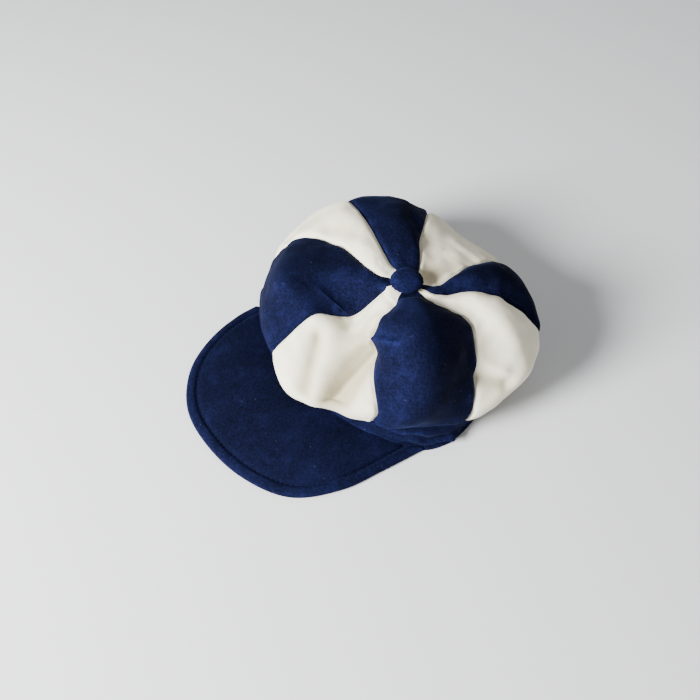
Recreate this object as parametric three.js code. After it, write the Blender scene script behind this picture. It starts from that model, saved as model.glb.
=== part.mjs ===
// Eight-panel velvet baker-boy cap, lying as it does on a table with its peak to the front.
// Millimetres. +Z is up, -Y is the front and +X is the wearer's left.
import * as THREE from "three";

// Cloth and seams
const CLOTH_WALL = 2; // velvet with its backing
const SEAM_GAP = 0.3; // between any two pieces that touch

// Head band, a superellipse in plan
const BAND = { x: 6, halfWidth: 103, halfDepth: 73, power: 2.5, top: 24, wall: 2.5, steps: 72 };
const BAND_SAG = { turn: 66, spread: 16, out: 4 }; // soft corner at the wearer's left
const BAND_TUCK = { turn: -50, spread: 20, in: 6 }; // drawn in under the crown

// Covered button
const BUTTON = { x: 30, y: 7, seat: 87, radius: 12, edge: 1.6, rise: 7.5, sides: 28 };
const BUTTON_BED = 0.6; // how far the cloth dips under the button

// Crown: eight panels meet at the button and are sewn to the band
const PANELS = [
  ["panel_front", "ivory"],
  ["panel_front_left", "navy"],
  ["panel_left", "ivory"],
  ["panel_back_left", "navy"],
  ["panel_back", "ivory"],
  ["panel_back_right", "navy"],
  ["panel_right", "ivory"],
  ["panel_front_right", "navy"],
];
const PANEL_COLUMNS = 10;

// Stations down each section, with the middle that its turn and reach are taken from,
// how far a panel swells there between its seams, and the mesh rows down to the next one
const STATIONS = [
  { name: "eye", x: 30, y: 7, swell: 0, rows: 1 },
  { name: "seat", x: 30, y: 7, swell: 0, rows: 2 },
  { name: "well", x: 29, y: 7, swell: 2, rows: 3 },
  { name: "top", x: 22, y: 8, swell: 4, rows: 3 },
  { name: "shoulder", x: 15, y: 9, swell: 4, rows: 4 },
  { name: "rim", x: 10, y: 8, swell: 4, rows: 3 },
  { name: "tuck", x: 6, y: 4, swell: 2, rows: 3 },
  { name: "band", x: BAND.x, y: 0, swell: 0, rows: 0 },
];
const EYE_REACH = 5;
const SEAT_REACH = 14;
const WELL_SHARE = 0.45; // the well's reach as a share of the top's

// A row for each seam and each panel middle, from the seam at the front right round to the left.
// turn is in degrees from the front towards +X, at the well, top, rim and band.
// reach is from the station's middle, at the top, shoulder, rim and tuck.
// height is above the table, at the well, top, shoulder, rim and tuck.
const SECTIONS = [
  { turn: [-35, -22, -20, -24], reach: [40, 64, 91, 88], height: [80, 62, 72, 50, 34] },
  { turn: [-8, -1, 6, 4], reach: [44, 68, 99, 94], height: [82, 64, 62, 44, 31] },
  { turn: [17, 15, 38, 42], reach: [50, 68, 96, 96], height: [86, 80, 68, 46, 30] },
  { turn: [55, 54, 56, 50], reach: [56, 86, 102, 100], height: [95, 96, 84, 50, 30] },
  { turn: [88, 95, 80, 74], reach: [58, 80, 102, 112], height: [87, 82, 72, 48, 28] },
  { turn: [98, 108, 98, 94], reach: [58, 92, 116, 115], height: [87, 86, 76, 48, 29] },
  { turn: [108, 122, 116, 115], reach: [56, 90, 117, 110], height: [88, 86, 76, 52, 32] },
  { turn: [122, 136, 136, 136], reach: [56, 86, 107, 100], height: [87, 86, 76, 52, 34] },
  { turn: [135, 150, 155, 157], reach: [54, 81, 100, 95], height: [87, 82, 71, 52, 34] },
  { turn: [162, 176, 177, 178], reach: [48, 73, 93, 89], height: [85, 78, 67, 49, 34] },
  { turn: [190, 199, 200, 200], reach: [50, 82, 102, 92], height: [87, 84, 76, 54, 34] },
  { turn: [222, 220, 221, 222], reach: [60, 90, 106, 99], height: [87, 88, 77, 50, 32] },
  { turn: [249, 243, 242, 244], reach: [58, 93, 113, 104], height: [87, 88, 79, 49, 31] },
  { turn: [268, 258, 262, 266], reach: [60, 89, 108, 102], height: [87, 87, 76, 47, 30] },
  { turn: [288, 273, 280, 288], reach: [56, 86, 103, 100], height: [87, 84, 73, 47, 30] },
  { turn: [306, 305, 310, 312], reach: [56, 80, 90, 90], height: [85, 82, 76, 48, 30] },
];

// Folds and dents of the crown, a row for each one: where it starts and ends, as a place in
// seams from the first section and a place in stations from the eye, how deep it is (less than
// nothing is a raised crease) and how wide.
const FOLDS = [
  { name: "front_valley", from: [0.98, 3.9], to: [0.7, 5], depth: 7, width: 10 },
  { name: "front_soft_fold", from: [0.24, 4.1], to: [0.5, 4.9], depth: 3, width: 7 },
  { name: "front_left_crease", from: [1.05, 2.9], to: [1.32, 3.3], depth: 3, width: 6 },
  { name: "left_roll", from: [2.02, 4.4], to: [2.24, 4.7], depth: -2, width: 6 },
  { name: "left_tuck", from: [2.05, 4.85], to: [2.3, 5.05], depth: 3, width: 6 },
  { name: "back_left_fold", from: [3.12, 2.3], to: [3.18, 4.2], depth: 4, width: 8 },
  { name: "back_long_valley", from: [4.9, 3.1], to: [4.45, 1.8], depth: 3, width: 9 },
  { name: "back_cross_valley", from: [4.5, 2], to: [4.08, 3.4], depth: 4, width: 9 },
  { name: "back_right_notch", from: [5.2, 3.3], to: [5.15, 4.3], depth: 3, width: 9 },
  { name: "right_wrinkle", from: [6.72, 3.4], to: [6.5, 2.9], depth: 2.5, width: 8 },
  { name: "right_notch", from: [6.62, 4], to: [6.78, 4.6], depth: 3, width: 10 },
  { name: "front_right_long_ridge", from: [7.66, 4.1], to: [7.95, 3.1], depth: -2.5, width: 7 },
  { name: "front_right_short_ridge", from: [7.7, 3.3], to: [7.92, 3], depth: -2.5, width: 6 },
];

// Peak outline from the wearer's right round the tip to the left, about the cap's middle line
const PEAK_OUTLINE = [
  { side: -95, ahead: 37 },
  { side: -98, ahead: 56 },
  { side: -96, ahead: 86 },
  { side: -84, ahead: 117 },
  { side: -58, ahead: 142 },
  { side: -24, ahead: 153 },
  { side: 16, ahead: 154 },
  { side: 53, ahead: 142 },
  { side: 76, ahead: 114 },
  { side: 88, ahead: 82 },
  { side: 99, ahead: 48 },
];
const PEAK = { wall: 4, fromTurn: -70, toTurn: 60, rootLift: 6, arch: 4, steps: 40 };
const PEAK_ROWS = [0, 0.2, 0.4, 0.6, 0.8, 0.97, 1]; // shares of the way from the band to the rim
const PEAK_RIM_BEVEL = 0.3; // share of the wall's thickness taken off each face at the rim

const degrees = THREE.MathUtils.degToRad;

function material(name) {
  const colours = { navy: 0x141c4a, ivory: 0xe9e4d6 };
  return new THREE.MeshStandardMaterial({ color: colours[name], roughness: 0.9, metalness: 0 });
}

function plan(x, y, turn, reach, height) {
  const angle = degrees(turn);
  return new THREE.Vector3(x + reach * Math.sin(angle), y - reach * Math.cos(angle), height);
}

// How much a stretch of the band round a turn has of its effect, from 0 to 1
function nearTurn(turn, stretch) {
  const off = THREE.MathUtils.euclideanModulo(turn - stretch.turn + 180, 360) - 180;
  return Math.exp(-((off / stretch.spread) ** 2));
}

// Distance from the band's middle to its outer face in a direction
function bandReach(turn) {
  const across = Math.abs(Math.sin(degrees(turn)) / BAND.halfWidth) ** BAND.power;
  const along = Math.abs(Math.cos(degrees(turn)) / BAND.halfDepth) ** BAND.power;
  const drawnIn = BAND_TUCK.in * nearTurn(turn, BAND_TUCK);
  return (across + along) ** (-1 / BAND.power) - drawnIn;
}

function bandPoint(turn, inset, height) {
  const sag = BAND_SAG.out * (1 - height / BAND.top) * nearTurn(turn, BAND_SAG);
  return plan(BAND.x, 0, turn, bandReach(turn) + sag - inset, height);
}

// Places of one section's stations, from the eye down to the band
function sectionPoints({ turn, reach, height }) {
  const [turnWell, turnTop, turnRim, turnBand] = turn;
  const [reachTop, reachShoulder, reachRim, reachTuck] = reach;
  const turns = [
    turnWell,
    turnWell,
    turnWell,
    turnTop,
    (turnTop + turnRim) / 2,
    turnRim,
    0.6 * turnRim + 0.4 * turnBand,
    turnBand,
  ];
  const wellReach = WELL_SHARE * reachTop;
  const reaches = [EYE_REACH, SEAT_REACH, wellReach, reachTop, reachShoulder, reachRim, reachTuck];
  reaches.push(bandReach(turnBand));
  const bed = BUTTON.seat - BUTTON_BED;
  const heights = [bed, bed, ...height, BAND.top + SEAM_GAP];
  return STATIONS.map(({ x, y }, i) => plan(x, y, turns[i], reaches[i], heights[i]));
}

const smoothCurve = (points, closed) => new THREE.CatmullRomCurve3(points, closed, "catmullrom");
const SECTION_CURVES = SECTIONS.map((section) => smoothCurve(sectionPoints(section), false));
const LAST_STATION = STATIONS.length - 1;

const PROBE = 0.02; // how far to each side a direction on the crown is measured
// The crown without its swell and folds: seam counts seams round, station counts stations down
function crownBase(seam, station) {
  const ring = SECTION_CURVES.map((curve) => curve.getPoint(station / LAST_STATION));
  const round = THREE.MathUtils.euclideanModulo(seam / PANELS.length, 1);
  return smoothCurve(ring, true).getPoint(round);
}

function crownAround(seam, station) {
  return crownBase(seam + PROBE, station).sub(crownBase(seam - PROBE, station));
}

function crownNormal(seam, station) {
  const above = Math.max(0, station - PROBE);
  const below = Math.min(LAST_STATION, station + PROBE);
  const down = crownBase(seam, below).sub(crownBase(seam, above));
  const normal = down.cross(crownAround(seam, station));
  if (station === LAST_STATION) {
    normal.z = 0;
  }
  return normal.normalize();
}

function swell(seam, station) {
  const from = Math.min(Math.floor(station), LAST_STATION - 1);
  const amount = THREE.MathUtils.lerp(STATIONS[from].swell, STATIONS[from + 1].swell, station - from);
  const across = Math.sin(Math.PI * (seam - Math.floor(seam)));
  return amount * Math.abs(across) ** 0.8;
}

const FOLD_LINES = FOLDS.map(({ from, to, depth, width }) => {
  return { line: new THREE.Line3(crownBase(...from), crownBase(...to)), depth, width };
});

function foldDepth(point) {
  let depth = 0;
  for (const fold of FOLD_LINES) {
    const nearest = fold.line.closestPointToPoint(point, true, new THREE.Vector3());
    depth += fold.depth * Math.exp(-((nearest.distanceTo(point) / fold.width) ** 2));
  }
  return depth;
}

// One place on a wall of the crown: inset 0 is the outer face
function crownPoint(seam, station, inset) {
  const point = crownBase(seam, station);
  const settled = station < LAST_STATION ? 1 : 0;
  const push = swell(seam, station) - settled * foldDepth(point) - inset;
  return point.addScaledVector(crownNormal(seam, station), push);
}

// A closed wall between two grids of points with the same rows and columns. The first grid's
// faces look out when its rows run down and its columns run anticlockwise, seen from outside.
function wall(outer, inner, ring = false) {
  const rows = outer.length;
  const columns = outer[0].length;
  const points = [...outer.flat(), ...inner.flat()];
  const faces = [];
  const at = (side, row, column) => (side * rows + row) * columns + (column % columns);
  const quad = (a, b, c, d) => faces.push(a, b, c, a, c, d);
  const lastColumn = ring ? columns : columns - 1;
  for (let row = 0; row < rows - 1; row += 1) {
    for (let column = 0; column < lastColumn; column += 1) {
      const next = column + 1;
      quad(at(0, row, column), at(0, row + 1, column), at(0, row + 1, next), at(0, row, next));
      quad(at(1, row, column), at(1, row, next), at(1, row + 1, next), at(1, row + 1, column));
    }
  }
  const bottom = rows - 1;
  for (let column = 0; column < lastColumn; column += 1) {
    const next = column + 1;
    quad(at(0, 0, next), at(1, 0, next), at(1, 0, column), at(0, 0, column));
    quad(at(0, bottom, column), at(1, bottom, column), at(1, bottom, next), at(0, bottom, next));
  }
  if (!ring) {
    const end = columns - 1;
    for (let row = 0; row < bottom; row += 1) {
      quad(at(0, row, 0), at(1, row, 0), at(1, row + 1, 0), at(0, row + 1, 0));
      quad(at(0, row, end), at(0, row + 1, end), at(1, row + 1, end), at(1, row, end));
    }
  }
  const geometry = new THREE.BufferGeometry().setFromPoints(points);
  geometry.setIndex(faces);
  geometry.computeVertexNormals();
  return geometry;
}

function mesh(name, geometry, colour) {
  const piece = new THREE.Mesh(geometry, material(colour));
  piece.name = name;
  return piece;
}

function stationRows() {
  const rows = [];
  STATIONS.forEach(({ rows: count }, station) => {
    for (let row = 0; row < count; row += 1) {
      rows.push(station + row / count);
    }
  });
  return [...rows, LAST_STATION];
}

function crownPanel(index) {
  const [name, colour] = PANELS[index];
  const face = (inset) => stationRows().map((station) => {
    const row = [];
    for (let column = 0; column <= PANEL_COLUMNS; column += 1) {
      const seam = index + column / PANEL_COLUMNS;
      const point = crownPoint(seam, station, inset);
      const opening = { 0: SEAM_GAP / 2, [PANEL_COLUMNS]: -SEAM_GAP / 2 }[column] ?? 0;
      row.push(point.addScaledVector(crownAround(seam, station).normalize(), opening));
    }
    return row;
  });
  return mesh(name, wall(face(0), face(CLOTH_WALL)), colour);
}

function crownButton() {
  const profile = [new THREE.Vector2(0, 0), new THREE.Vector2(BUTTON.radius - BUTTON.edge, 0)];
  const domeSteps = 6;
  for (let step = 0; step < domeSteps; step += 1) {
    const angle = (step / domeSteps) * (Math.PI / 2);
    const height = BUTTON.edge + (BUTTON.rise - BUTTON.edge) * Math.sin(angle);
    profile.push(new THREE.Vector2(BUTTON.radius * Math.cos(angle) ** 0.8, height));
  }
  profile.push(new THREE.Vector2(0, BUTTON.rise));
  const button = mesh("crown_button", new THREE.LatheGeometry(profile, BUTTON.sides), "navy");
  button.rotation.x = Math.PI / 2;
  button.position.set(BUTTON.x, BUTTON.y, BUTTON.seat + SEAM_GAP);
  return button;
}

function headBand() {
  const heights = [BAND.top, BAND.top / 2, 0];
  const face = (inset) => heights.map((height) => {
    const row = [];
    for (let step = 0; step < BAND.steps; step += 1) {
      row.push(bandPoint((360 * step) / BAND.steps, inset, height));
    }
    return row;
  });
  return mesh("head_band", wall(face(0), face(BAND.wall), true), "navy");
}

// The peak runs from the band out to its rim, arched a little over its middle
function peak() {
  const corners = PEAK_OUTLINE.map(({ side, ahead }) => new THREE.Vector3(side, -ahead, 0));
  const rim = smoothCurve(corners, false);
  const face = (lift, rimLift) => PEAK_ROWS.map((out) => {
    const row = [];
    for (let step = 0; step <= PEAK.steps; step += 1) {
      const along = step / PEAK.steps;
      const turn = THREE.MathUtils.lerp(PEAK.fromTurn, PEAK.toTurn, along);
      const point = bandPoint(turn, -SEAM_GAP, 0).lerp(rim.getPoint(along), out);
      const rise = PEAK.rootLift * (1 - out) + PEAK.arch * Math.sin(Math.PI * out);
      point.z = (out === 1 ? rimLift : lift) + rise * Math.sin(Math.PI * along);
      row.push(point);
    }
    return row;
  });
  const bevel = PEAK.wall * PEAK_RIM_BEVEL;
  return mesh("peak", wall(face(PEAK.wall, PEAK.wall - bevel), face(0, bevel)), "navy");
}

const cap = new THREE.Group();
PANELS.forEach((panel, index) => cap.add(crownPanel(index)));
cap.add(crownButton(), headBand(), peak());

// The origin is on the table, under the middle of the whole cap
const extent = new THREE.Box3().setFromObject(cap);
const middle = extent.getCenter(new THREE.Vector3());
cap.position.set(-middle.x, -middle.y, -extent.min.z);

export default cap;
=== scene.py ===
"""Builds an eight-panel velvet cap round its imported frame: crown, button, head band and peak."""

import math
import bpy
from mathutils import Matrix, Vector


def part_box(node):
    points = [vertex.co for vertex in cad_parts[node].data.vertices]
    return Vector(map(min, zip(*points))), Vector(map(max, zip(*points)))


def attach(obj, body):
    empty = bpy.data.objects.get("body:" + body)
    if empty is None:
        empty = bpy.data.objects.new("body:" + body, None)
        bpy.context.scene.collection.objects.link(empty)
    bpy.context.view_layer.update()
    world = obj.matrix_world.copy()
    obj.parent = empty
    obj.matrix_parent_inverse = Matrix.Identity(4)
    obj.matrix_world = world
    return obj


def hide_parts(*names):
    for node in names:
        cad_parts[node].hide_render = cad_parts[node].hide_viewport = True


bl_info = {
    "name": "Velvet Panel Cap",
    "version": (1, 0, 0),
    "blender": (4, 5, 0),
    "location": "View3D > Sidebar > Cap",
    "description": "Builds a baker-boy cap of eight velvet panels, lying on a table",
    "category": "Add Mesh",
}

import bmesh
import bpy
import numpy as np
from bpy.props import FloatProperty, FloatVectorProperty, IntProperty, PointerProperty
from mathutils import Matrix, Vector, noise

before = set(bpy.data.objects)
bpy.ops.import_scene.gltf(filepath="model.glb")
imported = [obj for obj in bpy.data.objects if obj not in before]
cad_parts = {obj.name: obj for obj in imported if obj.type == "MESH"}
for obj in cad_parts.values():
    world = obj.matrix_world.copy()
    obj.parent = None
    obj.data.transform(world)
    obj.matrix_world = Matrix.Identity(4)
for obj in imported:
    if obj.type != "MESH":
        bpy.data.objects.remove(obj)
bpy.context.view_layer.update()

# Shapes are worked out in millimetres about the middle of the head opening, with the peak
# towards -Y and the wearer's left towards +X, and are then moved to their place in metres.
MM = 0.001
# The button's place from the head's middle, from which the head's place in the frame follows
BUTTON_PLACE = np.array([30.0, 7.0])
BUTTON_LOW, BUTTON_HIGH = (np.array(corner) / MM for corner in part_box("crown_button"))
HEAD_MIDDLE = np.append((BUTTON_LOW + BUTTON_HIGH)[:2] / 2 - BUTTON_PLACE, 0.0)

# Head band: a rounded oval, by the x of its middle, its half sizes and the power of its outline
BAND_MIDDLE = 6.0
BAND_HALF = np.array([103.0, 73.0])
BAND_POWER = 2.5
BAND_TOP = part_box("head_band")[1][2] / MM
BAND_OVERLAP = 0.8
BAND_ROWS = 40
# Where the band bulges at its foot, is drawn in under the crown, and is gathered
BAND_SAG = {"turn": 66.0, "spread": 16.0, "out": 4.0}
BAND_TUCK = {"turn": -50.0, "spread": 20.0, "in": 6.0}
BAND_GATHERS = {"turn": 58.0, "spread": 15.0, "pitch": 8.5, "slant": 30.0, "wander": 0.35}
# Pointed folds standing out at the wearer's left: turn, height and rise
BAND_TIPS = ((74.0, 8.0, 6.5), (82.0, 17.0, 6.0))
BAND_TIP_SPREAD = (3.5, 3.0)
# The welt above the peak, and how far the band's top eighth is drawn in
BAND_WELT = {"rise": 1.6, "above_peak": 1.6, "width": 1.2}
BAND_TOP_IN = 1.3
BAND_TOP_SHARE = 1 / 8
BAND_LUMP = 0.7
# Height over which the gathers and the lumps grow from the band's lower edge
BAND_FOOT = {"gathers": 3.0, "lumps": 4.0}
# Radius of the ring on which the band's unevenness is read
BAND_NOISE_RADIUS = 95.0

# Crown panels in order round the head, with their finishes
PANELS = (
    ("panel_front", "ivory_velvet"),
    ("panel_front_left", "navy_velvet"),
    ("panel_left", "ivory_velvet"),
    ("panel_back_left", "navy_velvet"),
    ("panel_back", "ivory_velvet"),
    ("panel_back_right", "navy_velvet"),
    ("panel_right", "ivory_velvet"),
    ("panel_front_right", "navy_velvet"),
)

# Stations down the crown: name, middle x and y, swell between seams, share of a panel's rows
STATIONS = (
    ("eye", 30, 7, 0.0, 0.03),
    ("seat", 30, 7, 0.0, 0.10),
    ("well", 29, 7, 2.0, 0.17),
    ("top", 22, 8, 4.0, 0.19),
    ("shoulder", 15, 9, 4.0, 0.22),
    ("rim", 10, 8, 4.0, 0.15),
    ("tuck", 6, 4, 2.0, 0.14),
    ("band", 6, 0, 0.0, 0.0),
)
LAST_STATION = len(STATIONS) - 1
SEAT, WELL, TUCK = 1, 2, 6
EYE_REACH = 5.0
SEAT_REACH = 14.0
SEAT_HEIGHT = 86.4
WELL_SHARE = 0.45
SEAM_GAP = 0.3
# Share of the way from the rim's turn to the band's at which the tuck lies
TUCK_TURN = 0.4

# A row for each seam and each panel middle, from the front right seam round to the left:
# turn at well, top, rim and band; reach at top, shoulder, rim and tuck;
# height at well, top, shoulder, rim and tuck
SECTIONS = (
    ((-35, -22, -20, -24), (40, 64, 91, 88), (80, 62, 72, 50, 34)),
    ((-8, -1, 6, 4), (44, 68, 99, 94), (82, 64, 62, 44, 31)),
    ((17, 15, 38, 42), (50, 68, 96, 96), (86, 80, 68, 46, 30)),
    ((55, 54, 56, 50), (56, 86, 102, 100), (95, 96, 84, 50, 30)),
    ((88, 95, 80, 74), (58, 80, 102, 112), (87, 82, 72, 48, 28)),
    ((98, 108, 98, 94), (58, 92, 116, 115), (87, 86, 76, 48, 29)),
    ((108, 122, 116, 115), (56, 90, 117, 110), (88, 86, 76, 52, 32)),
    ((122, 136, 136, 136), (56, 86, 107, 100), (87, 86, 76, 52, 34)),
    ((135, 150, 155, 157), (54, 81, 100, 95), (87, 82, 71, 52, 34)),
    ((162, 176, 177, 178), (48, 73, 93, 89), (85, 78, 67, 49, 34)),
    ((190, 199, 200, 200), (50, 82, 102, 92), (87, 84, 76, 54, 34)),
    ((222, 220, 221, 222), (60, 90, 106, 99), (87, 88, 77, 50, 32)),
    ((249, 243, 242, 244), (58, 93, 113, 104), (87, 88, 79, 49, 31)),
    ((268, 258, 262, 266), (60, 89, 108, 102), (87, 87, 76, 47, 30)),
    ((288, 273, 280, 288), (56, 86, 103, 100), (87, 84, 73, 47, 30)),
    ((306, 305, 310, 312), (56, 80, 90, 90), (85, 82, 76, 48, 30)),
)

# Folds and dents: from and to as (seam, station), depth, which is negative where the cloth is
# raised, and width
FOLDS = {
    "front_valley": ((0.98, 3.9), (0.7, 5.0), 7.0, 10.0),
    "front_soft_fold": ((0.24, 4.1), (0.5, 4.9), 3.0, 7.0),
    "front_left_crease": ((1.05, 2.9), (1.32, 3.3), 3.0, 6.0),
    "left_roll": ((2.02, 4.4), (2.24, 4.7), -2.0, 6.0),
    "left_tuck": ((2.05, 4.85), (2.3, 5.05), 3.0, 6.0),
    "back_left_fold": ((3.12, 2.3), (3.18, 4.2), 4.0, 8.0),
    "back_long_valley": ((4.9, 3.1), (4.45, 1.8), 3.0, 9.0),
    "back_cross_valley": ((4.5, 2.0), (4.08, 3.4), 4.0, 9.0),
    "back_right_notch": ((5.2, 3.3), (5.15, 4.3), 3.0, 9.0),
    "right_wrinkle": ((6.72, 3.4), (6.5, 2.9), 2.5, 8.0),
    "right_notch": ((6.62, 4.0), (6.78, 4.6), 3.0, 10.0),
    "front_right_long_ridge": ((7.66, 4.1), (7.95, 3.1), -2.5, 7.0),
    "front_right_short_ridge": ((7.7, 3.3), (7.92, 3.0), -2.5, 6.0),
    "front_right_long_crease": ((7.7, 4.85), (7.95, 3.35), -2.0, 2.2),
    "front_right_short_crease": ((7.6, 4.2), (7.93, 3.2), -1.2, 1.8),
    "front_left_fine_crease": ((1.0, 3.3), (1.32, 3.42), -2.0, 2.0),
    "left_fine_crease": ((2.06, 4.55), (2.26, 4.78), 1.0, 1.8),
    "front_fine_crease": ((0.97, 3.95), (0.68, 5.1), 2.8, 2.8),
    "front_trough": ((0.84, 3.2), (0.74, 4.9), 5.5, 13.0),
    "front_soft_crease": ((0.26, 4.1), (0.52, 4.95), 2.0, 4.0),
    "left_soft_tuck": ((2.04, 4.7), (2.3, 5.0), 2.5, 4.5),
}

# Folds narrower than this are fine creases, drawn paler as flattened pile with a painted highlight
FINE_CREASE = 3.0
# Depth of fold at which the painted shade in the ivory's folds is at its darkest
DEEP_FOLD = 7.0
# How far the columns of faces crowd towards the seams, as a share of a panel
CLOSER_AT_SEAMS = 0.1
SWELL_POWER = 0.8

# Relief by the seams: how far the pinch and the puckers reach, and the puckers' own sizes
PINCH_REACH = 1.8
PUCKER_START = 1.5
PUCKER_REACH = 8.0
PUCKER_WIDTH = 16.0
PUCKERS_TO_A_STATION = 3.3
PUCKERS_APART = 7.1

# Share of the relief that is left where the crown meets the band
FREE_AT_BAND = 0.25
# Height of the gathers above the band, and of the small crumples as a share of the broad ones
GATHER_HEIGHT = 0.8
SMALL_CRUMPLE = 0.45

# Smooth unevenness: size of its lumps, seed and stretch
PUCKERS = (1, 3.7)
BROAD_CRUMPLES = (30, 11.3)
SMALL_CRUMPLES = (11, 5.9)
CROWN_GATHERS = (7, 2.2, (1, 1, 0.2))
GATHER_SLOPES = (14, 8.1)
BAND_LUMPS = (22, 1.4, (1, 1, 1.6))
PEAK_LUMPS = (17, 6.6)

# What draws the navy pile paler: lying by a seam, as worn pile with painted sheen; lying by the
# button; each millimetre of fold, as flattened pile with a painted highlight; the gathers; and,
# as painted light and shade, facing front and down rather than back and up
WEAR_AND_PAINTED_LIGHT = {"seam": 0.5, "button": 0.3, "fold": 0.12, "gathers": 0.5, "facing_light": 0.45}
PALENESS_LIMITS = (-0.6, 1.0)
SEAM_WEAR_AND_SHEEN_REACH = 7.0
BUTTON_WEAR_REACH = 0.7
PAINTED_LIGHT_FACING = np.array([0.1, -0.85, -0.5])
# Wear of the button; paleness for each millimetre that the band stands out, as rubbed pile
# with a painted highlight; and wear of the peak's rim and hem
BUTTON_WORN = 0.9
BAND_WEAR_AND_HIGHLIGHT = 0.4
PEAK_WEAR = {"rim": 0.5, "reach": 3.0, "hem": 0.15}

# Cloth that the UV maps spread over a panel, round the band and over the peak, in metres
PANEL_CLOTH = (0.08, 0.2)
BAND_CLOTH = 0.56
PEAK_CLOTH = (0.3, 0.2)

# Peak outline as (to the side, ahead), from the wearer's right round the tip to the left
PEAK_OUTLINE = (
    (-95, 37),
    (-98, 56),
    (-96, 86),
    (-84, 117),
    (-58, 142),
    (-24, 153),
    (16, 154),
    (53, 142),
    (76, 114),
    (88, 82),
    (99, 48),
)
PEAK_TURNS = (-70.0, 60.0)
PEAK_WALL = 4.0
PEAK_ROOT_LIFT = 6.0
PEAK_ARCH = 4.0
PEAK_ROWS = 200
# Share of the way round the peak's section that its rounded rim and its root each take
PEAK_RIM_SHARE = 0.08
# The sewn groove, and the roll between it and the rim as shares of the hem
PEAK_GROOVE = {"depth": 1.5, "width": 1.5}
PEAK_ROLL = {"rise": 0.5, "middle": 0.5, "width": 0.35}
PEAK_LUMP = 0.3
UNDERSIDE_RELIEF = 0.6

# Stitches: half their width and height, how far they stand out, the stretch of the peak they
# cover, and the least share of its depth at which they are sewn
STITCH_HALF = (0.4, 0.3)
STITCH_RISE = 0.15
STITCH_SPAN = (0.02, 0.98)
STITCH_SAMPLES = 900
STITCH_FROM_ROOT = 0.15

# Button: how its upper and its under side fill out and how deep their gathers are, then the
# share of its rise at which its edge lies, its gathers round and the height of its lumps
BUTTON_SIDES = {"upper": (0.85, 0.1), "under": (0.5, 0.25)}
BUTTON_EDGE = 0.22
BUTTON_GATHERS = 22
BUTTON_LUMP = 0.35
# Lumps in half the button's width, and their seed
BUTTON_NOISE = (2.3, 4.0)

MERGED_WITHIN = 0.01 * MM
PILE_RELIEF = 0.8 * MM
LINT_COLOUR = (0.35, 0.38, 0.5, 1)


class CrownSizes(bpy.types.PropertyGroup):
    """Sizes of the crown's cloth."""

    wall: FloatProperty(
        name="Cloth wall", description="Thickness of the velvet", default=2 * MM, unit="LENGTH"
    )
    pinch: FloatProperty(
        name="Seam pinch", description="How far a seam draws in", default=1.6 * MM, unit="LENGTH"
    )
    pucker: FloatProperty(
        name="Pucker",
        description="Height of the puckers by a seam",
        default=0.9 * MM,
        unit="LENGTH",
    )
    crumple: FloatProperty(
        name="Crumple",
        description="Height of the soft unevenness",
        default=1.8 * MM,
        unit="LENGTH",
    )
    columns: IntProperty(name="Columns", description="Faces across a panel", default=64, min=8)
    rows: IntProperty(name="Rows", description="Faces down a panel", default=150, min=16)


class BandSizes(bpy.types.PropertyGroup):
    """Sizes of the head band."""

    wall: FloatProperty(
        name="Band wall", description="Thickness of the band", default=2.5 * MM, unit="LENGTH"
    )
    gather: FloatProperty(
        name="Gather", description="Depth of the band's folds", default=1.5 * MM, unit="LENGTH"
    )
    steps: IntProperty(name="Steps", description="Faces round the band", default=420, min=36)


class PeakSizes(bpy.types.PropertyGroup):
    """Sizes of the peak and its stitching."""

    hem: FloatProperty(name="Hem", description="Stitch line to rim", default=9 * MM, unit="LENGTH")
    stitch: FloatProperty(
        name="Stitch", description="Length of a stitch", default=2.6 * MM, unit="LENGTH"
    )
    pitch: FloatProperty(
        name="Pitch", description="One stitch to the next", default=3.8 * MM, unit="LENGTH"
    )
    steps: IntProperty(name="Steps", description="Faces along the peak", default=300, min=40)


class ClothColours(bpy.types.PropertyGroup):
    """Colours of the two velvets; the pale navy is also painted sheen and the deep ivory painted
    shade.
    """

    navy: FloatVectorProperty(
        name="Navy",
        description="Pile of the navy velvet",
        subtype="COLOR",
        default=(0.0007, 0.0014, 0.008),
    )
    # Also the colour in which sheen and light are painted on the navy
    navy_crushed_and_sheen: FloatVectorProperty(
        name="Crushed navy and painted sheen",
        description="Where the pile lies flat, and painted sheen",
        subtype="COLOR",
        default=(0.007, 0.010, 0.050),
    )
    ivory: FloatVectorProperty(
        name="Ivory",
        description="Pile of the ivory velvet",
        subtype="COLOR",
        default=(0.92, 0.87, 0.68),
    )
    # Also the colour of the shade painted into the ivory's folds
    ivory_dark_and_painted_shade: FloatVectorProperty(
        name="Deep ivory and painted shade",
        description="Darker patches, and painted shade in the folds",
        subtype="COLOR",
        default=(0.42, 0.36, 0.22),
    )


def smooth_weights(share):
    """Catmull-Rom weights of the four points round a share of the way from the second on."""
    square, cube = share**2, share**3
    return (
        -0.5 * cube + square - 0.5 * share,
        1.5 * cube - 2.5 * square + 1,
        -1.5 * cube + 2 * square + 0.5 * share,
        0.5 * cube - 0.5 * square,
    )


def with_ends(points):
    """The points with one more past each end, so that an open curve runs through them all."""
    first = 2 * points[:1] - points[1:2]
    last = 2 * points[-1:] - points[-2:-1]
    return np.concatenate([first, points, last])


def open_curve(points, share):
    """Points of an open smooth curve at shares of its way."""
    knots = with_ends(np.asarray(points, float))
    along = np.clip(share, 0, 1) * (len(points) - 1)
    step = np.minimum(along.astype(int), len(points) - 2)
    weights = smooth_weights(along - step)
    return sum(w[..., None] * knots[step + k] for k, w in enumerate(weights))


def plan(middle, turn, reach, height):
    """A point at a turn in degrees from the front, a reach from a middle and a height."""
    angle = np.radians(turn)
    x = middle[0] + reach * np.sin(angle)
    y = middle[1] - reach * np.cos(angle)
    return np.stack(np.broadcast_arrays(x, y, height), axis=-1)


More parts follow.
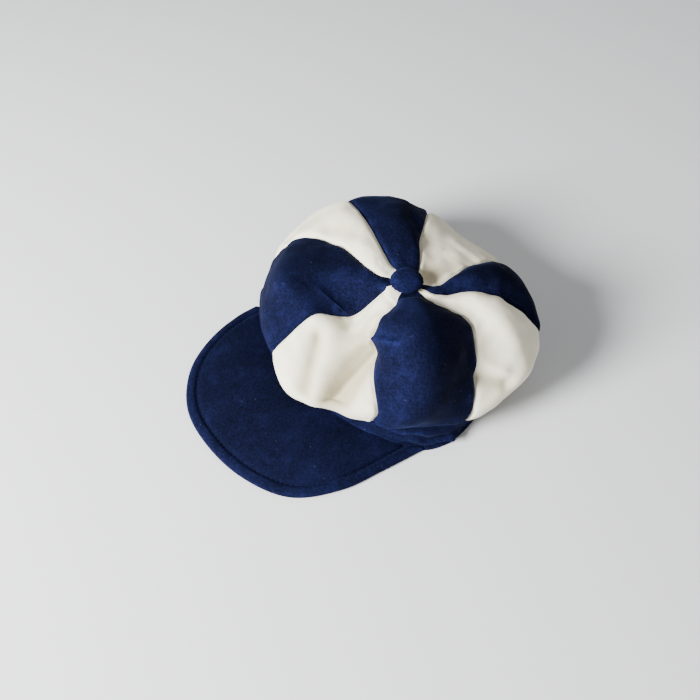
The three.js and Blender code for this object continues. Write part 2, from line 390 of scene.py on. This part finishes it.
def hump(off, width):
    """One where nothing is off, fading smoothly to nothing as it gets past a width."""
    return np.exp(-((off / width) ** 2))


def turned_from(turn, middle):
    """Degrees of a turn from a middle one, the short way round."""
    return (np.asarray(turn) - middle + 180) % 360 - 180


def near_turn(turn, stretch):
    """How much a stretch of the band round a turn has of its effect, from 0 to 1."""
    return hump(turned_from(turn, stretch["turn"]), stretch["spread"])


def band_reach(turn):
    """Distance from the band's middle to its outer face."""
    angle = np.radians(turn)
    across = np.abs(np.sin(angle) / BAND_HALF[0]) ** BAND_POWER
    along = np.abs(np.cos(angle) / BAND_HALF[1]) ** BAND_POWER
    return (across + along) ** (-1 / BAND_POWER) - BAND_TUCK["in"] * near_turn(turn, BAND_TUCK)


def band_point(turn, outset, height):
    """A point of the band's outer face, moved out by outset."""
    low = 1 - np.clip(np.asarray(height) / BAND_TOP, 0, 1)
    sag = BAND_SAG["out"] * low * near_turn(turn, BAND_SAG)
    return plan((BAND_MIDDLE, 0), turn, band_reach(turn) + sag + outset, height)


def crown_net():
    """The crown's places: a row of stations for each section."""
    net = []
    for turn, reach, height in SECTIONS:
        well, top, rim, band = turn
        tuck = (1 - TUCK_TURN) * rim + TUCK_TURN * band
        turns = (well, well, well, top, (top + rim) / 2, rim, tuck, band)
        reaches = (EYE_REACH, SEAT_REACH, WELL_SHARE * reach[0], *reach, band_reach(band))
        heights = (SEAT_HEIGHT, SEAT_HEIGHT, *height, BAND_TOP + SEAM_GAP)
        places = zip(STATIONS, turns, reaches, heights)
        row = [plan(station[1:3], *place) for station, *place in places]
        net.append(with_ends(np.array(row)))
    return np.array(net)


CROWN_NET = crown_net()
# Step along seams and stations over which the crown's direction is measured
PROBE = 0.02


def crown_base(seam, station):
    """Points of the crown without its swell and folds."""
    around = np.asarray(seam) * 2
    section = np.floor(around).astype(int)
    step = np.clip(np.floor(station).astype(int), 0, LAST_STATION - 1)
    ring = smooth_weights(around - section)
    down = smooth_weights(station - step)
    point = 0
    for i, across_weight in enumerate(ring):
        for j, down_weight in enumerate(down):
            knot = CROWN_NET[(section + i - 1) % len(SECTIONS), step + j]
            point = point + (across_weight * down_weight)[..., None] * knot
    return point


def unit(vectors):
    """The vectors at a length of one."""
    return vectors / np.linalg.norm(vectors, axis=-1, keepdims=True)


def crown_normal(seam, station):
    """Directions out of the crown, level at the band, and the panel's width there."""
    around = crown_base(seam + PROBE, station) - crown_base(seam - PROBE, station)
    above = crown_base(seam, np.maximum(0, station - PROBE))
    below = crown_base(seam, np.minimum(LAST_STATION, station + PROBE))
    normal = np.cross(below - above, around)
    normal[:, 2] *= np.clip(LAST_STATION - station, 0, 1)
    return unit(normal), np.linalg.norm(around, axis=-1) / (2 * PROBE)


def uneven(points, size, seed, stretch=(1, 1, 1)):
    """Smooth noise from -1 to 1 at points, with lumps of a size in the points' own unit."""
    scaled = points / size * np.array(stretch) + seed
    return np.array([noise.noise(Vector(p)) for p in scaled])


def fold_push(points):
    """How far the folds push each point out, and how near it is to a fine crease."""
    push = np.zeros(len(points))
    crease_crush_and_highlight = np.zeros(len(points))
    for start, end, depth, width in FOLDS.values():
        a, b = (crown_base(np.array([s]), np.array([t]))[0] for s, t in (start, end))
        share = np.clip((points - a) @ (b - a) / ((b - a) @ (b - a)), 0, 1)
        distance = np.linalg.norm(points - a - share[:, None] * (b - a), axis=1)
        near = hump(distance, width)
        push -= depth * near
        if width < FINE_CREASE:
            # Painted highlight and flattened pile along fine creases
            crease_crush_and_highlight += near
    return push, crease_crush_and_highlight


def crown_surface(seam, station, sizes, index):
    """Outer face of one panel, its navy paleness from wear and painted light, and its ivory's
    painted fold shade.
    """
    base = crown_base(seam, station)
    normal, width = crown_normal(seam, station)
    share = np.clip(seam - index, 0, 1)
    swells = np.interp(station, range(len(STATIONS)), [row[3] for row in STATIONS])
    push = swells * np.abs(np.sin(np.pi * share)) ** SWELL_POWER
    to_seam = width * np.minimum(share, 1 - share)
    to_band = LAST_STATION - station
    free = np.clip(station - SEAT, 0, 1) * np.clip(to_band * 1.5, FREE_AT_BAND, 1)
    push -= sizes.pinch / MM * free * hump(to_seam, PINCH_REACH)
    beside = np.exp(-to_seam / PUCKER_REACH) * (1 - hump(to_seam, PUCKER_START))
    along = station * PUCKERS_TO_A_STATION
    seams = np.stack([to_seam / PUCKER_WIDTH, along, np.round(seam) * PUCKERS_APART], axis=-1)
    push += sizes.pucker / MM * free * beside * uneven(seams, *PUCKERS) * 2
    push += sizes.crumple / MM * free * uneven(base, *BROAD_CRUMPLES)
    push += sizes.crumple / MM * SMALL_CRUMPLE * free * uneven(base, *SMALL_CRUMPLES)
    gathers = np.clip(station - TUCK, 0, 1) * np.clip(to_band * 4, 0, 1)
    push += GATHER_HEIGHT * gathers * uneven(base, *CROWN_GATHERS)
    folds, crease_crush_and_highlight = fold_push(base)
    push += np.where(station < LAST_STATION, folds, 0)
    # Navy paleness: worn pile with painted sheen by the seams, flattened pile with painted
    # highlights over folds and creases, and wear by the gathers and the button
    paleness = WEAR_AND_PAINTED_LIGHT["seam"] * np.exp(-to_seam / SEAM_WEAR_AND_SHEEN_REACH) + WEAR_AND_PAINTED_LIGHT["fold"] * np.abs(folds)
    paleness += WEAR_AND_PAINTED_LIGHT["gathers"] * gathers + crease_crush_and_highlight
    paleness += WEAR_AND_PAINTED_LIGHT["button"] * hump(station - WELL, BUTTON_WEAR_REACH)
    # Painted light and shade: paler facing front and down, darker facing back and up
    paleness += WEAR_AND_PAINTED_LIGHT["facing_light"] * normal @ PAINTED_LIGHT_FACING
    # Painted shade for the ivory, darker the further down in a fold
    painted_fold_shade = np.clip(-folds / DEEP_FOLD, 0, 1)
    return base + normal * push[:, None], np.clip(paleness, *PALENESS_LIMITS), painted_fold_shade


def to_place(points):
    """From millimetres about the head's middle to metres in the frame."""
    return (points + HEAD_MIDDLE) * MM


def shaped_grid(columns, rows, place):
    """A grid whose points place() moves, given shares across and down it.

    place gives the points in metres, the cloth's own coordinates for the UV map, and a tone
    up to 1: for navy pile, how pale it is drawn from wear and painted light; for ivory pile, how
    far down in a fold it lies, which is drawn as painted shade.
    """
    grid = bmesh.new()
    bmesh.ops.create_grid(grid, x_segments=columns, y_segments=rows, size=1)
    flat = np.array([vert.co[:] for vert in grid.verts])
    points, cloth, levels = place((flat[:, 0] + 1) / 2, (1 - flat[:, 1]) / 2)
    nap = grid.verts.layers.float.new("nap")
    for vert, point, level in zip(grid.verts, points, levels):
        vert.co = point
        vert[nap] = level
    grid.verts.index_update()
    layer = grid.loops.layers.uv.new("cloth")
    for face in grid.faces:
        for loop in face.loops:
            loop[layer].uv = cloth[loop.vert.index]
    return grid


def finished_piece(mesh, name, finish, nodes=()):
    """Turns a bmesh into a smooth piece on the root body, in a finish."""
    data = bpy.data.meshes.new(name)
    mesh.to_mesh(data)
    mesh.free()
    data.shade_smooth()
    data.materials.append(bpy.data.materials[finish])
    piece = bpy.data.objects.new(name, data)
    bpy.context.scene.collection.objects.link(piece)
    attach(piece, "root")
    if nodes:
        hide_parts(*nodes)
    return piece


def thicken(piece, wall):
    """Gives a cloth face its wall, inwards."""
    shell = piece.modifiers.new("wall", "SOLIDIFY")
    shell.thickness = wall
    shell.offset = -1
    shell.use_rim = True


class Value:
    """One socket, whose arithmetic adds Math nodes."""

    def __init__(self, finish, socket):
        self.finish = finish
        self.socket = socket

    def math(self, operation, *values):
        """The outcome of a Math node on values."""
        node = self.finish.node("ShaderNodeMath", {"operation": operation}, dict(enumerate(values)))
        return Value(self.finish, node.outputs[0])

    def __add__(self, other):
        return self.math("ADD", self, other)

    def __sub__(self, other):
        return self.math("SUBTRACT", self, other)

    def __rsub__(self, other):
        return self.math("SUBTRACT", other, self)

    def __mul__(self, other):
        return self.math("MULTIPLY", self, other)

    __radd__ = __add__
    __rmul__ = __mul__


class Finish:
    """A node material for one cloth."""

    def __init__(self, name):
        self.material = bpy.data.materials.get(name) or bpy.data.materials.new(name)
        self.material.use_nodes = True
        self.tree = self.material.node_tree
        self.tree.nodes.clear()

    def node(self, kind, settings=None, sockets=None):
        """Adds a node, with its settings and then the values or links of its sockets."""
        node = self.tree.nodes.new(kind)
        for key, value in (settings or {}).items():
            if key == "stops":
                self.ramp(node.color_ramp, value)
            else:
                setattr(node, key, value)
        for key, value in (sockets or {}).items():
            socket = node.inputs[key]
            if isinstance(value, Value):
                self.tree.links.new(value.socket, socket)
            elif isinstance(value, bpy.types.NodeSocket):
                self.tree.links.new(value, socket)
            else:
                socket.default_value = value
        return node

    def ramp(self, ramp, stops):
        """Sets a colour ramp's stops, each a place and a grey level."""
        while len(ramp.elements) < len(stops):
            ramp.elements.new(1.0)
        for element, (place, level) in zip(ramp.elements, stops):
            element.position = place
            element.color = (level, level, level, 1)

    def coordinates(self, kind):
        """The piece's own coordinates of a kind."""
        return self.node("ShaderNodeTexCoord").outputs[kind]

    def nap(self):
        """The tone which the pieces carry: wear with painted light on the navy, painted shade in
        the ivory's folds.
        """
        node = self.node("ShaderNodeAttribute", {"attribute_name": "nap"})
        return Value(self, node.outputs["Fac"])

    def lumps(self, place, scale, detail=2.0, stretch=(1, 1, 1)):
        """Smooth noise from 0 to 1, with scale as its lumps to a metre."""
        mapped = self.node("ShaderNodeMapping", None, {"Vector": place, "Scale": stretch})
        sockets = {"Vector": mapped.outputs[0], "Scale": scale, "Detail": detail}
        return Value(self, self.node("ShaderNodeTexNoise", None, sockets).outputs[0])

    def mask(self, value, stops):
        """A value put through a ramp of grey levels."""
        return Value(self, self.node("ShaderNodeValToRGB", {"stops": stops}, {0: value}).outputs[0])

    def patches(self, place, scale, edges, detail=3.0, stretch=(1, 1, 1)):
        """Smooth noise as patches: nothing up to the first edge and one from the second on."""
        low, high = edges
        return self.mask(self.lumps(place, scale, detail, stretch), [(low, 0), (high, 1)])

    def mix(self, factor, first, second):
        """A colour between two, each a colour or a socket."""
        sockets = {"Factor": factor, 6: first, 7: second}
        return self.node("ShaderNodeMix", {"data_type": "RGBA"}, sockets).outputs[2]

    def surface(self, sockets):
        """Ends the material in a shader with these values and links."""
        shader = self.node("ShaderNodeBsdfPrincipled", None, sockets)
        self.node("ShaderNodeOutputMaterial", None, {"Surface": shader.outputs[0]})


def solid(colour):
    """A colour with full opacity."""
    return (*colour, 1.0)


def pile_bump(finish, place, cloth, strength):
    """Fine pile with the rows of its backing."""
    pile = finish.lumps(place, 1400)
    rows = finish.lumps(cloth, 320, detail=1.0, stretch=(1, 3, 1))
    crush = finish.lumps(place, 160, detail=3.0)
    height = pile * 0.35 + rows * 0.3 + crush * 0.8
    sockets = {"Strength": strength, "Distance": PILE_RELIEF, "Height": height}
    return finish.node("ShaderNodeBump", None, sockets).outputs[0]


def navy_velvet(colours):
    """Deep navy velvet, paler where rubbed flat and where sheen is painted in, with specks of lint.
    """
    finish = Finish("navy_velvet")
    place = finish.coordinates("Object")
    cloth = finish.coordinates("UV")
    clouds = finish.patches(place, 26, (0.42, 0.68))
    strokes = finish.patches(cloth, 90, (0.45, 0.75), stretch=(1, 0.35, 1))
    marks = finish.patches(place, 95, (0.52, 0.7))
    mottle = finish.patches(place, 620, (0.4, 0.66))
    paleness = finish.nap()
    crush_and_sheen = clouds * 0.12 + strokes * 0.25 * clouds + marks * 0.17 + mottle * 0.28
    # Paleness that the pieces carry: wear, with painted light and sheen
    crush_and_sheen = crush_and_sheen + paleness * (marks * 0.5 + mottle * 0.3 + 0.25)
    colour = finish.mix(crush_and_sheen, solid(colours.navy), solid(colours.navy_crushed_and_sheen))
    cells = finish.node("ShaderNodeTexVoronoi", None, {"Vector": place, "Scale": 260})
    off_speck = finish.mask(Value(finish, cells.outputs["Distance"]), [(0.04, 0), (0.07, 1)])
    sparse = finish.patches(place, 70, (0.58, 0.62), detail=1.0)
    lint = (1 - off_speck) * sparse * 0.3
    colour = finish.mix(lint, colour, LINT_COLOUR)
    sockets = {
        "Base Color": colour,
        "Roughness": 0.9,
        "Specular IOR Level": 0.06,
        "Sheen Weight": 0.045,
        "Sheen Roughness": 0.32,
        "Sheen Tint": (0.22, 0.36, 1.0, 1),
        "Normal": pile_bump(finish, place, cloth, 0.5),
    }
    finish.surface(sockets)


def ivory_velvet(colours):
    """Pale ivory velvet, deeper in colour in patches and, as painted shade, down in its folds."""
    finish = Finish("ivory_velvet")
    place = finish.coordinates("Object")
    cloth = finish.coordinates("UV")
    clouds = finish.patches(place, 30, (0.4, 0.7))
    strokes = finish.patches(cloth, 120, (0.45, 0.8), stretch=(1, 0.4, 1))
    # Painted shade: the tone that the pieces carry darkens the ivory down in its folds
    deep = clouds * 0.12 + strokes * 0.1 + finish.nap() * 0.78
    colour = finish.mix(deep, solid(colours.ivory), solid(colours.ivory_dark_and_painted_shade))
    sockets = {
        "Base Color": colour,
        "Roughness": 0.85,
        "Specular IOR Level": 0.2,
        "Sheen Weight": 0.25,
        "Sheen Roughness": 0.45,
        "Sheen Tint": (1.0, 0.98, 0.92, 1),
        "Normal": pile_bump(finish, place, cloth, 0.3),
    }
    finish.surface(sockets)


def navy_thread(colours):
    """Twisted sewing thread, a little brighter than the pile round it."""
    finish = Finish("navy_thread")
    place = finish.coordinates("Object")
    twist = finish.lumps(place, 900, detail=1.0)
    relief = {"Strength": 0.4, "Distance": 0.2 * MM, "Height": twist}
    sockets = {
        "Base Color": finish.mix(twist, solid(colours.navy), solid(colours.navy_crushed_and_sheen)),
        "Roughness": 0.85,
        "Specular IOR Level": 0.1,
        "Normal": finish.node("ShaderNodeBump", None, relief).outputs[0],
    }
    finish.surface(sockets)


def panel_rows():
    """Shares of a panel's rows at which its stations lie."""
    shares = np.cumsum([0.0] + [row[4] for row in STATIONS[:-1]])
    return shares / shares[-1]


def crown_panel(index, sizes):
    """One gore of the crown, from the button down to the band."""
    node, slot = PANELS[index]
    shares = panel_rows()

    def place(across, down):
        across = across - CLOSER_AT_SEAMS * np.sin(2 * np.pi * across)
        station = np.interp(down, shares, np.arange(len(STATIONS)))
        points, paleness, painted_fold_shade = crown_surface(index + across, station, sizes, index)
        cloth = np.stack([(across - 0.5) * PANEL_CLOTH[0] + index, down * PANEL_CLOTH[1]], axis=-1)
        return to_place(points), cloth, paleness if slot == "navy_velvet" else painted_fold_shade

    grid = shaped_grid(sizes.columns, sizes.rows, place)
    piece = finished_piece(grid, f"velvet_{node}", slot, [node])
    thicken(piece, sizes.wall)


def crown_button():
    """The covered button: a dome gathered in under its edge."""
    ball = bmesh.new()
    bmesh.ops.create_uvsphere(ball, u_segments=96, v_segments=48, radius=1)
    radius = (BUTTON_HIGH - BUTTON_LOW)[0] / 2
    rise = (BUTTON_HIGH - BUTTON_LOW)[2]
    middle = Vector(((BUTTON_LOW + BUTTON_HIGH) / 2)[:2])
    edge = BUTTON_EDGE * rise
    lumps, seed = BUTTON_NOISE
    for vert in ball.verts:
        turn = math.atan2(vert.co.y, vert.co.x)
        flat = math.hypot(vert.co.x, vert.co.y)
        upper = vert.co.z > 0
        fullness, gather = BUTTON_SIDES["upper" if upper else "under"]
        lump = noise.noise(Vector((vert.co.x * lumps, vert.co.y * lumps, seed)))
        reach = radius * flat**fullness
        reach += gather * flat**6 * math.sin(BUTTON_GATHERS * turn + 2 * lump)
        height = edge + (rise - edge) * vert.co.z if upper else edge * (1 + vert.co.z)
        height += BUTTON_LUMP * lump * flat if upper else 0
        x = middle.x + reach * math.cos(turn)
        y = middle.y + reach * math.sin(turn)
        vert.co = Vector((x, y, BUTTON_LOW[2] + height)) * MM
    nap = ball.verts.layers.float.new("nap")
    for vert in ball.verts:
        vert[nap] = BUTTON_WORN
    layer = ball.loops.layers.uv.new("cloth")
    for face in ball.faces:
        for loop in face.loops:
            loop[layer].uv = loop.vert.co.xy
    piece = finished_piece(ball, "velvet_button", "navy_velvet", ["crown_button"])


def peak_root_top(turn):
    """Height at which the peak's upper face meets the band, and nothing beside the peak."""
    start, end = PEAK_TURNS
    along = np.clip((turned_from(turn, 0) - start) / (end - start), 0, 1)
    bow = np.sin(np.pi * along)
    return PEAK_WALL * np.clip(bow * 8, 0, 1) + PEAK_ROOT_LIFT * bow


def head_band(sizes):
    """The band round the head opening, gathered and folded at the wearer's left."""

    def place(across, down):
        turn = across * 360
        height = (1 - down) * (BAND_TOP + BAND_OVERLAP)
        flat = band_point(turn, 0, height)
        loop = plan((0, 0), turn, BAND_NOISE_RADIUS, height)
        slope = height / BAND_GATHERS["pitch"]
        slope += turned_from(turn, BAND_GATHERS["turn"]) / BAND_GATHERS["slant"]
        slope += BAND_GATHERS["wander"] * uneven(loop, *GATHER_SLOPES)
        gather = sizes.gather / MM * near_turn(turn, BAND_GATHERS)
        outset = gather * np.sin(2 * np.pi * slope) * np.clip(height / BAND_FOOT["gathers"], 0, 1)
        lumps = BAND_LUMP * uneven(loop, *BAND_LUMPS)
        outset += lumps * np.clip(height / BAND_FOOT["lumps"], 0, 1)
        for tip_turn, tip_height, rise in BAND_TIPS:
            around = np.abs(turn - tip_turn) / BAND_TIP_SPREAD[0]
            upright = np.abs(height - tip_height) / BAND_TIP_SPREAD[1]
            outset += rise * np.exp(-around - upright)
        off_welt = height - peak_root_top(turn) - BAND_WELT["above_peak"]
        outset += BAND_WELT["rise"] * hump(off_welt, BAND_WELT["width"])
        outset -= BAND_TOP_IN * np.clip(1 - down / BAND_TOP_SHARE, 0, 1)
        flat += unit(flat * [1, 1, 0] - [BAND_MIDDLE, 0, 0]) * outset[:, None]
        cloth = np.stack([across * BAND_CLOTH, height * MM], axis=-1)
        # Paler where the band stands out: rubbed pile with a painted highlight on folds and welt
        return to_place(flat), cloth, np.clip(outset * BAND_WEAR_AND_HIGHLIGHT, 0, 1)

    ring = shaped_grid(sizes.steps, BAND_ROWS, place)
    bmesh.ops.remove_doubles(ring, verts=ring.verts, dist=MERGED_WITHIN)
    piece = finished_piece(ring, "velvet_head_band", "navy_velvet", ["head_band"])
    thicken(piece, sizes.wall)


def peak_point(along, out, lift):
    """Points of the peak at shares along it and out to its rim, lifted from its underside."""
    turn = PEAK_TURNS[0] + (PEAK_TURNS[1] - PEAK_TURNS[0]) * along
    root = band_point(turn, SEAM_GAP, np.zeros_like(turn))
    outline = [(side, -ahead, 0) for side, ahead in PEAK_OUTLINE]
    rim = open_curve(outline, along)
    point = root + (rim - root) * out[:, None]
    rise = PEAK_ROOT_LIFT * (1 - out) + PEAK_ARCH * np.sin(np.pi * out)
    point[:, 2] = lift + rise * np.sin(np.pi * along)
    return point


def peak_depth(along):
    """Millimetres from the band to the rim."""
    ends = [peak_point(along, np.full_like(along, share), np.zeros_like(along)) for share in (0, 1)]
    return np.maximum(np.linalg.norm(ends[1] - ends[0], axis=1), 1)


def peak_face_lift(point, to_rim, hem, upper):
    """Lift of the peak's cloth, drawn in along the stitch line."""
    groove = PEAK_GROOVE["depth"] * hump(to_rim - hem, PEAK_GROOVE["width"])
    roll = PEAK_ROLL["rise"] * hump(to_rim - hem * PEAK_ROLL["middle"], hem * PEAK_ROLL["width"])
    relief = roll - groove + PEAK_LUMP * uneven(point, *PEAK_LUMPS)
    return PEAK_WALL + relief if upper else -np.minimum(relief, 0) * UNDERSIDE_RELIEF


def peak(sizes):
    """The stiff peak, as a closed loop of cloth from the band round the rim and back."""
    hem = sizes.hem / MM
    half = PEAK_WALL / 2

    def place(across, down):
        depth = peak_depth(across)
        upper = down < 0.5
        side = np.abs(down - 0.5) * 2
        arc = np.clip(side / PEAK_RIM_SHARE, 0, 1) * np.pi / 2
        inward = half * (1 - np.cos(arc))
        face = np.clip((side - PEAK_RIM_SHARE) / (1 - 2 * PEAK_RIM_SHARE), 0, 1)
        out = np.clip(1 - (inward + face * (depth - half)) / depth, 0, 1)
        root = np.clip((1 - side) / PEAK_RIM_SHARE, 0, 1)
        flat = peak_point(across, out, np.zeros_like(out))
        to_rim = (1 - out) * depth
        lifts = [peak_face_lift(flat, to_rim, hem, face_up) for face_up in (True, False)]
        flat[:, 2] += half + (np.where(upper, *lifts) - half) * np.sin(arc) * root
        cloth = np.stack([across * PEAK_CLOTH[0], down * PEAK_CLOTH[1]], axis=-1)
        paleness = PEAK_WEAR["rim"] * np.exp(-to_rim / PEAK_WEAR["reach"])
        paleness += PEAK_WEAR["hem"] * (to_rim < hem)
        return to_place(flat), cloth, paleness

    loop = shaped_grid(sizes.steps, PEAK_ROWS, place)
    bmesh.ops.remove_doubles(loop, verts=loop.verts, dist=MERGED_WITHIN)
    ends = [edge for edge in loop.edges if edge.is_boundary]
    bmesh.ops.holes_fill(loop, edges=ends, sides=0)
    finished_piece(loop, "velvet_peak", "navy_velvet", ["peak"])


def peak_stitches(sizes):
    """Two rows of stitches, above and below the peak, in its stitch line."""
    hem = sizes.hem / MM
    along = np.linspace(*STITCH_SPAN, STITCH_SAMPLES)
    out = 1 - hem / peak_depth(along)
    keep = out > STITCH_FROM_ROOT
    along, out = along[keep], out[keep]
    rows = []
    for upper in (True, False):
        flat = peak_point(along, out, np.zeros_like(out))
        to_rim = np.full_like(out, hem)
        lift = peak_face_lift(flat, to_rim, hem, upper)
        flat[:, 2] += lift + (STITCH_RISE if upper else -STITCH_RISE)
        rows.append(to_place(flat))
    stitches = bmesh.new()
    size = Matrix.Diagonal((sizes.stitch / 2, *(half * MM for half in STITCH_HALF), 1))
    for line in rows:
        travelled = np.append(0, np.cumsum(np.linalg.norm(np.diff(line, axis=0), axis=1)))
        for start in np.arange(0, travelled[-1] - sizes.stitch, sizes.pitch):
            ends = [
                Vector([np.interp(at, travelled, line[:, axis]) for axis in range(3)])
                for at in (start, start + sizes.stitch)
            ]
            way = ends[1] - ends[0]
            turned = Vector((1, 0, 0)).rotation_difference(way).to_matrix().to_4x4()
            place = Matrix.Translation((ends[0] + ends[1]) / 2) @ turned @ size
            bmesh.ops.create_uvsphere(stitches, u_segments=6, v_segments=6, radius=1, matrix=place)
    finished_piece(stitches, "peak_stitches", "navy_thread")


# The camera's distance and aim are in millimetres, as are its lens and sensor
CAMERA = {"turn": 42.4, "rise": 52.0, "distance": 574.0, "aim": (-4.6, -15.1, 0.0), "lens": 36.0}
SENSOR_WIDTH = 36
# Lights: turn from the camera and rise in degrees, distance and size in metres, and watts
LIGHTS = {
    "key_softbox": (-58.0, 30.0, 1.5, 0.6, 95.0),
    "fill_softbox": (60.0, 35.0, 1.7, 1.2, 4.0),
    "top_softbox": (170.0, 62.0, 1.6, 1.2, 5.0),
}
STUDIO_LIGHT = 0.2
FLOOR_COLOUR = (0.74, 0.75, 0.77, 1)
FLOOR_HALF = 6


def seen_from(turn, rise, distance, aim):
    """A point at a turn round from the front, a rise above level and a distance from aim."""
    around, up = math.radians(turn), math.radians(rise)
    level = math.cos(up)
    way = Vector((math.sin(around) * level, -math.cos(around) * level, math.sin(up)))
    return aim + distance * way


def add_floor():
    """A plain pale floor."""
    finish = Finish("pale_floor")
    finish.surface({"Base Color": FLOOR_COLOUR, "Roughness": 0.8, "Specular IOR Level": 0.2})
    sheet = bmesh.new()
    bmesh.ops.create_grid(sheet, x_segments=1, y_segments=1, size=FLOOR_HALF)
    data = bpy.data.meshes.new("floor")
    sheet.to_mesh(data)
    sheet.free()
    data.materials.append(finish.material)
    floor = bpy.data.objects.new("floor", data)
    bpy.context.scene.collection.objects.link(floor)


def add_light(name, aim):
    """A round soft light that shines at aim."""
    turn, rise, distance, size, power = LIGHTS[name]
    data = bpy.data.lights.new(name, "AREA")
    data.shape = "DISK"
    data.size = size
    data.energy = power
    light = bpy.data.objects.new(name, data)
    light.location = seen_from(CAMERA["turn"] + turn, rise, distance, aim)
    light.rotation_euler = (light.location - aim).to_track_quat("Z", "Y").to_euler()
    bpy.context.scene.collection.objects.link(light)


def add_camera(aim):
    """The camera at the photo's angle."""
    data = bpy.data.cameras.new("camera")
    data.lens = CAMERA["lens"]
    data.sensor_width = SENSOR_WIDTH
    camera = bpy.data.objects.new("camera", data)
    camera.location = seen_from(CAMERA["turn"], CAMERA["rise"], CAMERA["distance"] * MM, aim)
    camera.rotation_euler = (camera.location - aim).to_track_quat("Z", "Y").to_euler()
    bpy.context.scene.collection.objects.link(camera)
    bpy.context.scene.camera = camera


class CAP_OT_finishes(bpy.types.Operator):
    """Makes the cloths and the thread"""

    bl_idname = "cap.finishes"
    bl_label = "Cap finishes"

    def execute(self, context):
        colours = context.scene.cap_colours
        navy_velvet(colours)
        ivory_velvet(colours)
        navy_thread(colours)
        return {"FINISHED"}


class CAP_OT_crown(bpy.types.Operator):
    """Makes the eight panels of the crown"""

    bl_idname = "cap.crown"
    bl_label = "Crown panels"

    def execute(self, context):
        for index in range(len(PANELS)):
            crown_panel(index, context.scene.cap_crown)
        return {"FINISHED"}


class CAP_OT_button(bpy.types.Operator):
    """Makes the covered button"""

    bl_idname = "cap.button"
    bl_label = "Covered button"

    def execute(self, context):
        crown_button()
        return {"FINISHED"}


class CAP_OT_head_band(bpy.types.Operator):
    """Makes the head band"""

    bl_idname = "cap.head_band"
    bl_label = "Head band"

    def execute(self, context):
        head_band(context.scene.cap_band)
        return {"FINISHED"}


class CAP_OT_peak(bpy.types.Operator):
    """Makes the peak and its stitching"""

    bl_idname = "cap.peak"
    bl_label = "Peak"

    def execute(self, context):
        peak(context.scene.cap_peak)
        peak_stitches(context.scene.cap_peak)
        return {"FINISHED"}


class CAP_OT_stage(bpy.types.Operator):
    """Makes the floor, lights and camera"""

    bl_idname = "cap.stage"
    bl_label = "Stage"

    def execute(self, context):
        aim = Vector(to_place(np.array(CAMERA["aim"])))
        add_floor()
        for name in LIGHTS:
            add_light(name, aim)
        add_camera(aim)
        world = bpy.data.worlds.new("studio")
        world.use_nodes = True
        background = world.node_tree.nodes["Background"]
        background.inputs["Color"].default_value = (1.0, 1.0, 1.0, 1)
        background.inputs["Strength"].default_value = STUDIO_LIGHT
        context.scene.world = world
        return {"FINISHED"}


OPERATORS = (
    CAP_OT_finishes,
    CAP_OT_crown,
    CAP_OT_button,
    CAP_OT_head_band,
    CAP_OT_peak,
    CAP_OT_stage,
)


class CAP_PT_sidebar(bpy.types.Panel):
    """Lists the cap's pieces and their sizes"""

    bl_idname = "CAP_PT_sidebar"
    bl_label = "Velvet Panel Cap"
    bl_space_type = "VIEW_3D"
    bl_region_type = "UI"
    bl_category = "Cap"

    def draw(self, context):
        for operator in OPERATORS:
            self.layout.operator(operator.bl_idname)
        for name in SETTINGS:
            group = getattr(context.scene, name)
            box = self.layout.box()
            for prop in group.__annotations__:
                box.prop(group, prop)


SETTINGS = {
    "cap_crown": CrownSizes,
    "cap_band": BandSizes,
    "cap_peak": PeakSizes,
    "cap_colours": ClothColours,
}


def register():
    for group in SETTINGS.values():
        bpy.utils.register_class(group)
    for name, group in SETTINGS.items():
        setattr(bpy.types.Scene, name, PointerProperty(type=group))
    for operator in OPERATORS:
        bpy.utils.register_class(operator)
    bpy.utils.register_class(CAP_PT_sidebar)


def unregister():
    bpy.utils.unregister_class(CAP_PT_sidebar)
    for operator in reversed(OPERATORS):
        bpy.utils.unregister_class(operator)
    for name in SETTINGS:
        delattr(bpy.types.Scene, name)
    for group in reversed(SETTINGS.values()):
        bpy.utils.unregister_class(group)


def main():
    register()
    for operator in OPERATORS:
        group, name = operator.bl_idname.split(".")
        getattr(getattr(bpy.ops, group), name)()


if __name__ == "__main__":
    main()
